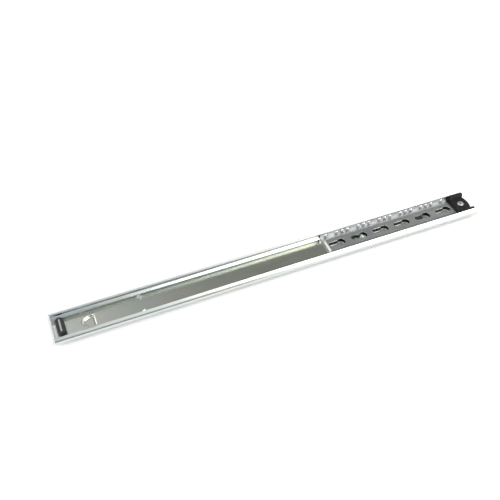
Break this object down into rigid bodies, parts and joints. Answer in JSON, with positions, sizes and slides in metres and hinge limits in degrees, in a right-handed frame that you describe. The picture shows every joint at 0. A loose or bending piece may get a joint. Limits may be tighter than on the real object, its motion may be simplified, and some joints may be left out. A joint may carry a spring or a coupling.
{
  "type": "cabinet drawer slide",
  "caption": "Ball-bearing drawer slide, cabinet member: a zinc-plated C-section rail with hanging hook, screw boss, rear rubber bumper, front stop and a sliding ball cage.",
  "frame": {"origin": "on the flat back of the rail, at the middle of its length and width", "axes": "+X along the rail from its rear (bumper) end to its front (stop) end, +Y across it, +Z out of the open side, away from the cabinet wall"},
  "size_m": [0.45, 0.0356, 0.012],
  "materials": {
    "zinc_steel": "zinc plated cold-rolled steel, satin",
    "cage_steel": "zinc plated thin strip, satin",
    "bearing_steel": "polished ball bearing steel",
    "rivet_steel": "zinc plated, slightly dull",
    "black_rubber": "matt black rubber",
    "black_plastic": "moulded black plastic, fine grain"
  },
  "bodies": {
    "rail": {"cabinet_rail": "zinc_steel", "rear_bumper": "black_rubber", "front_stop": "black_plastic", "front_stop_rivet": "rivet_steel"},
    "cage": {"ball_cage": "cage_steel", "ball_left_01": "bearing_steel", "ball_left_02": "bearing_steel", "ball_left_03": "bearing_steel", "ball_left_04": "bearing_steel", "ball_left_05": "bearing_steel", "ball_left_06": "bearing_steel", "ball_left_07": "bearing_steel", "ball_left_08": "bearing_steel", "ball_left_09": "bearing_steel", "ball_left_10": "bearing_steel", "ball_left_11": "bearing_steel", "ball_left_12": "bearing_steel", "ball_left_13": "bearing_steel", "ball_left_14": "bearing_steel", "ball_left_15": "bearing_steel", "ball_left_16": "bearing_steel", "ball_left_17": "bearing_steel", "ball_right_01": "bearing_steel", "ball_right_02": "bearing_steel", "ball_right_03": "bearing_steel", "ball_right_04": "bearing_steel", "ball_right_05": "bearing_steel", "ball_right_06": "bearing_steel", "ball_right_07": "bearing_steel", "ball_right_08": "bearing_steel", "ball_right_09": "bearing_steel", "ball_right_10": "bearing_steel", "ball_right_11": "bearing_steel", "ball_right_12": "bearing_steel", "ball_right_13": "bearing_steel", "ball_right_14": "bearing_steel", "ball_right_15": "bearing_steel", "ball_right_16": "bearing_steel", "ball_right_17": "bearing_steel"}
  },
  "joints": [
    {"name": "cage_slide", "type": "slide", "parent": "rail", "child": "cage", "axis": [1, 0, 0], "range_m": [-0.1925, 0.002]}
  ]
}
